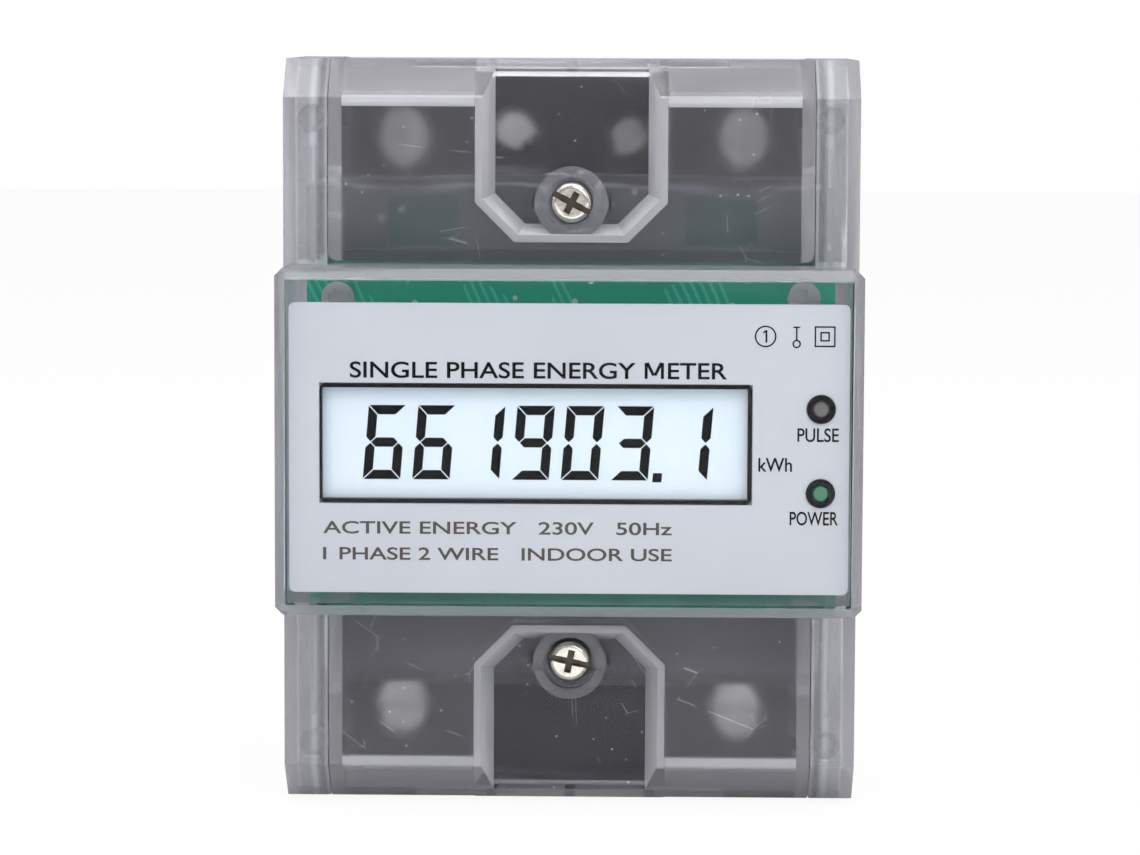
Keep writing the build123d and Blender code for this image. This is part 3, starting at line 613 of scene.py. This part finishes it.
def addLetters(build, words, left, right, baseline, capital, weight=0.012):
    # words fitted between left and right; weight thickens the strokes
    curve = bpy.data.curves.new("words", "FONT")
    curve.body = words
    curve.extrude = 0.01
    curve.offset = weight
    holder = bpy.data.objects.new("words", curve)
    bpy.context.scene.collection.objects.link(holder)
    bpy.context.view_layer.update()
    mesh = bpy.data.meshes.new_from_object(holder.evaluated_get(bpy.context.evaluated_depsgraph_get()))
    xs = [v.co.x for v in mesh.vertices]
    ys = [v.co.y for v in mesh.vertices]
    across = (right - left) * mm / (max(xs) - min(xs))
    up = capital * mm / max(ys)
    upright = Matrix.Rotation(math.radians(90), 4, "X")
    scale = Matrix.Diagonal((across, up, mm, 1))
    shift = Matrix.Translation((left * mm - min(xs) * across, inkFront, baseline * mm))
    mesh.transform(shift @ upright @ scale)
    build.from_mesh(mesh)
    bpy.data.objects.remove(holder)
    bpy.data.curves.remove(curve)
    bpy.data.meshes.remove(mesh)


def addRing(build, x, z, half, line, sides):
    # a flat ring or, with 4 sides, a square outline; half is half its width
    ring = bmesh.new()
    radius = half * mm / math.cos(math.pi / sides)
    made = bmesh.ops.create_circle(ring, cap_ends=True, segments=sides, radius=radius)
    face = made["verts"][0].link_faces[0]
    bmesh.ops.inset_region(ring, faces=[face], thickness=line * mm, use_boundary=True, use_even_offset=True)
    bmesh.ops.delete(ring, geom=[face], context="FACES")
    bmesh.ops.solidify(ring, geom=ring.faces[:], thickness=inkThick)
    bmesh.ops.recalc_face_normals(ring, faces=ring.faces)
    turn = Matrix.Rotation(math.radians(90), 4, "X") @ Matrix.Rotation(math.pi / sides, 4, "Z")
    bmesh.ops.transform(ring, matrix=Matrix.Translation((x * mm, inkFront, z * mm)) @ turn, verts=ring.verts)
    mesh = bpy.data.meshes.new("ring")
    ring.to_mesh(mesh)
    ring.free()
    build.from_mesh(mesh)
    bpy.data.meshes.remove(mesh)


def addBar(build, x, z, width, height, degrees):
    spot = Matrix.Translation((x * mm, inkFront, z * mm))
    turn = Matrix.Rotation(math.radians(degrees), 4, "Y")
    scale = Matrix.Diagonal((width * mm, inkThick, height * mm, 1))
    bmesh.ops.create_cube(build, size=1, matrix=spot @ turn @ scale)


for words, left, right, baseline, capital, ink in lettering:
    addLetters(inks[ink], words, left, right, baseline, capital)
dark = inks["dark"]
rings = [
    # x, z, half width, line, sides
    (25.3, 13.9, 1.40, 0.2, 48),
    (32.95, 13.9, 1.35, 0.2, 4),
    (32.95, 13.9, 0.62, 0.2, 4),
    (29.3, 12.95, 0.55, 0.2, 24),
]
bars = [
    # x, z, width, height, degrees
    (9.95, 9.38, 0.39, 2.07, 0),  # the title's M
    (10.5, 9.6, 0.39, 1.85, -27),
    (11.5, 9.6, 0.39, 1.85, 27),
    (12.05, 9.38, 0.39, 2.07, 0),
    (25.4, 13.9, 0.24, 1.6, 0),  # the figure in the ring
    (25.18, 14.5, 0.5, 0.2, -38),
    (29.3, 14.3, 0.2, 1.7, 0),  # the key's stem and head
    (29.3, 15.1, 0.9, 0.18, 0),
]
for ring in rings:
    addRing(dark, *ring)
for bar in bars:
    addBar(dark, *bar)
finishPiece(objectFrom("printed_black", dark), "case", "bezel_black", inkDark)
finishPiece(objectFrom("printed_grey", inks["grey"]), "case", "bezel_black", inkGrey)
print("nameplate printed")

digits = {
    "reading": "661903.1",
    "left": -26.73,
    "pitch": 6.42,
    "pointPitch": 1.23,  # what the decimal point adds
    "point": (6.05, 0.36),  # its middle, from the digit on its left
    "width": 4.85,
    "height": 9.62,
    "bottom": -4.95,
    "stroke": 1.2,
    "lean": 0.085,
    "gap": 0.10,
}
segmentsOf = {"0": "abcdef", "1": "bc", "3": "abcdg", "6": "acdefg", "9": "abcdfg"}


def addSegment(build, x, z, length, upright, mitres):
    # a flat bar; each end is a point, or is cut back from the side that its mitre names
    stroke, reach = digits["stroke"], length / 2 - digits["gap"]
    quarter = Matrix.Rotation(math.radians(90), 4, "Z")
    made = bmesh.ops.create_circle(build, cap_ends=True, segments=6, radius=1, matrix=quarter)
    for vert in made["verts"]:
        end, side = math.copysign(1, vert.co.x), math.copysign(1, vert.co.y)
        mitre = mitres[0] if end < 0 else mitres[1]
        back = stroke / 2 if mitre == 0 else stroke * (0.25 if side == mitre else 1)
        if abs(vert.co.y) < 0.1:
            back, side = 0, mitre
        vert.co.xy = end * (reach - back), side * stroke / 2
    turn = Matrix.Rotation(math.radians(90 if upright else 0), 4, "Z")
    bmesh.ops.transform(build, matrix=Matrix.Translation((x, z, 0)) @ turn, verts=made["verts"])


def digitBars(build):
    width, height, stroke = digits["width"], digits["height"], digits["stroke"]
    left = digits["left"]
    for mark in digits["reading"]:
        if mark == ".":
            made = bmesh.ops.create_circle(build, cap_ends=True, segments=4, radius=stroke * 0.7)
            across, up = digits["point"]
            spot = Matrix.Translation((left - digits["pitch"] + across, up, 0))
            turn = Matrix.Rotation(math.radians(45), 4, "Z")
            bmesh.ops.transform(build, matrix=spot @ turn, verts=made["verts"])
            left += digits["pointPitch"]
            continue
        middle, right = left + width / 2, left + width - stroke / 2
        places = {
            "a": (middle, height - stroke / 2, width, False, (1, 1)),
            "g": (middle, height / 2, width - stroke, False, (0, 0)),
            "d": (middle, stroke / 2, width, False, (-1, -1)),
            "b": (right, height * 0.75, height / 2, True, (0, -1)),
            "c": (right, height * 0.25, height / 2, True, (-1, 0)),
            "f": (left + stroke / 2, height * 0.75, height / 2, True, (0, 1)),
            "e": (left + stroke / 2, height * 0.25, height / 2, True, (1, 0)),
        }
        for key in segmentsOf[mark]:
            addSegment(build, *places[key])
        left += digits["pitch"]


build = bmesh.new()
digitBars(build)
lean = Matrix.Identity(4)
lean[0][1] = digits["lean"]
upright = Matrix.Rotation(math.radians(90), 4, "X")
shift = Matrix.Translation((0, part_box("lcd_glass")[0].y - 0.04 * mm, digits["bottom"] * mm))
bmesh.ops.transform(build, matrix=shift @ upright @ Matrix.Scale(mm, 4) @ lean, verts=build.verts)
bmesh.ops.solidify(build, geom=build.faces[:], thickness=0.03 * mm)
bmesh.ops.recalc_face_normals(build, faces=build.faces)
finishPiece(objectFrom("display_segments", build), "case", "bezel_black", segmentBlack)
print("display segments made")

stageLook = {
    "floorSize": 6.0,
    "floorDrop": 0.2 * mm,
    "colour": (0.90, 0.90, 0.905),
    "shade": (0.87, 0.87, 0.875),
    "paper": 0.93,
    "skyLow": (0.34, 0.34, 0.35),
    "skyHigh": (0.64, 0.64, 0.66),
}


def floorPattern(wires):
    cloud = grain(wires, 0.4, 2)
    return {
        "Base Color": blendColour(wires, cloud, stageLook["colour"], stageLook["shade"]),
        "Roughness": grain(wires, 0.02) * 0.1 + 0.6,
    }


build = bmesh.new()
bmesh.ops.create_grid(build, x_segments=1, y_segments=1, size=stageLook["floorSize"] / 2)
bmesh.ops.translate(build, vec=(0, 0, cadBox[0].z - stageLook["floorDrop"]), verts=build.verts)
floor = objectFrom("floor", build)
floor.data.materials.append(makeMaterial("paleFloor", {}, floorPattern))
tree = floor.data.materials[0].node_tree
wires = Wire(tree)
# the floor reads as white paper to the eye, and lights the object only by what it reflects
paper = wires.node("Emission", {}, {"Color": (1.0, 1.0, 1.0, 1.0), "Strength": 1.0})
seen = wires.node("LightPath", output="Is Camera Ray") * stageLook["paper"]
surface = next(node for node in tree.nodes if node.type == "BSDF_PRINCIPLED").outputs[0]
mixed = wires.node("MixShader", {}, {0: seen, 1: Wire(tree, surface), 2: paper})
# and from underneath the eye passes through it
below = wires.node("NewGeometry", output="Backfacing") * wires.node("LightPath", output="Is Camera Ray")
mixed = wires.node("MixShader", {}, {0: below, 1: mixed, 2: wires.node("BsdfTransparent")})
tree.links.new(mixed.socket, next(node for node in tree.nodes if node.type == "OUTPUT_MATERIAL").inputs[0])

softboxes = {
    # place, aim, width, height, power
    "above": ((0.0, -0.45, 1.05), (0, -0.03, 0), 1.6, 1.1, 15),
    "front": ((0.55, -1.5, 0.75), (0, -0.03, 0), 0.9, 0.9, 5.6),
    "left": ((-1.1, -0.5, 0.5), (0, -0.03, 0), 0.7, 1.0, 4),
    "right": ((1.1, -0.5, 0.5), (0, -0.03, 0), 0.7, 1.0, 4),
}
for name, (where, aim, width, height, power) in softboxes.items():
    lamp = bpy.data.lights.new(name, "AREA")
    lamp.shape = "RECTANGLE"
    lamp.size = width
    lamp.size_y = height
    lamp.energy = power
    holder = bpy.data.objects.new(name, lamp)
    bpy.context.scene.collection.objects.link(holder)
    holder.location = where
    holder.rotation_euler = (Vector(aim) - Vector(where)).to_track_quat("-Z", "Y").to_euler()

world = bpy.data.worlds.new("studio")
world.use_nodes = True
world.node_tree.nodes.clear()
wires = Wire(world.node_tree)
heading = wires.node("TexCoord", output="Generated")
height = Wire(world.node_tree, wires.node("SeparateXYZ", {}, {0: heading}).socket.node.outputs[2])
sky = blendColour(wires, ramp(wires, height, -0.2, 0.9), stageLook["skyLow"], stageLook["skyHigh"])
# the room is plain white behind the object, and dimmer as a light
seen = wires.node("LightPath", output="Is Camera Ray")
shade = blendColour(wires, seen, sky, (1.0, 1.0, 1.0))
wires.node("OutputWorld", {}, {"Surface": wires.node("Background", {}, {"Color": shade})})
bpy.context.scene.world = world
bpy.context.scene.view_settings.view_transform = "Standard"
bpy.context.scene.cycles.sample_clamp_indirect = 3.0
bpy.context.scene.cycles.blur_glossy = 1.0

view = {
    "distance": 475.0,  # mm, from the middle of the front
    "raise": 5.5,
    "turn": 1.0,
    "roll": 0.25,
    "lens": 116.6,
    "aimX": 0.2,
    "aimZ": 2.23,
}
frontY = cadBox[0].y / mm
lift, swing = math.radians(view["raise"]), math.radians(view["turn"])
eye = Vector((
    view["distance"] * math.sin(swing) * math.cos(lift),
    frontY - view["distance"] * math.cos(swing) * math.cos(lift),
    view["distance"] * math.sin(lift),
)) * mm
target = Vector((view["aimX"], frontY, view["aimZ"])) * mm
camera = bpy.data.cameras.new("camera")
camera.lens = view["lens"]
camera.sensor_width = 36
camera.clip_start = 0.01
holder = bpy.data.objects.new("camera", camera)
bpy.context.scene.collection.objects.link(holder)
holder.location = eye
look = (target - eye).to_track_quat("-Z", "Y").to_matrix().to_4x4()
holder.rotation_euler = (look @ Matrix.Rotation(math.radians(view["roll"]), 4, "Z")).to_euler()
bpy.context.scene.camera = holder
print("stage, lights and camera set")
